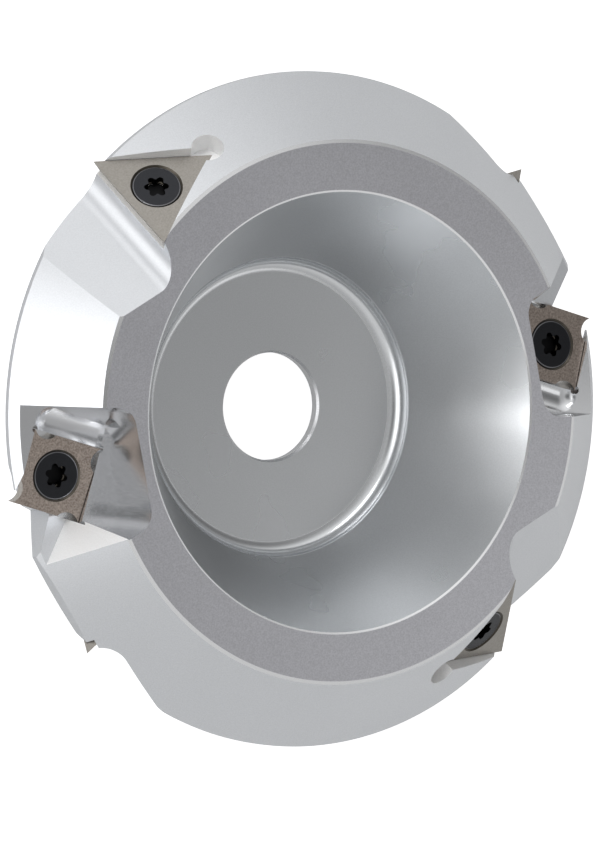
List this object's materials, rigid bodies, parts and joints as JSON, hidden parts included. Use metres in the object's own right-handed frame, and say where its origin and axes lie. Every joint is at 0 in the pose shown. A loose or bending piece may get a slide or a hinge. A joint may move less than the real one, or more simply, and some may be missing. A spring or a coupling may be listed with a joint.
{
  "type": "slotting cutter",
  "caption": "Disc cutter head with a V-shaped rim, a deep dished front and a bored web, holding screwed square and triangular carbide inserts.",
  "frame": {"origin": "centre of the bore at the back face", "axes": "+Z along the bore axis, out of the dished front; +X towards the tip of the first square insert"},
  "size_m": [0.127, 0.125, 0.0284],
  "materials": {
    "head": "satin",
    "carbide": "ground",
    "screw": "black oxide"
  },
  "bodies": {
    "root": {"cutter_body": "head", "square_insert_1": "carbide", "square_insert_screw_1": "screw", "square_insert_2": "carbide", "square_insert_screw_2": "screw", "front_triangle_insert_1": "carbide", "front_triangle_screw_1": "screw", "front_triangle_insert_2": "carbide", "front_triangle_screw_2": "screw", "back_triangle_insert_1": "carbide", "back_triangle_screw_1": "screw", "back_triangle_insert_2": "carbide", "back_triangle_screw_2": "screw"}
  },
  "joints": []
}
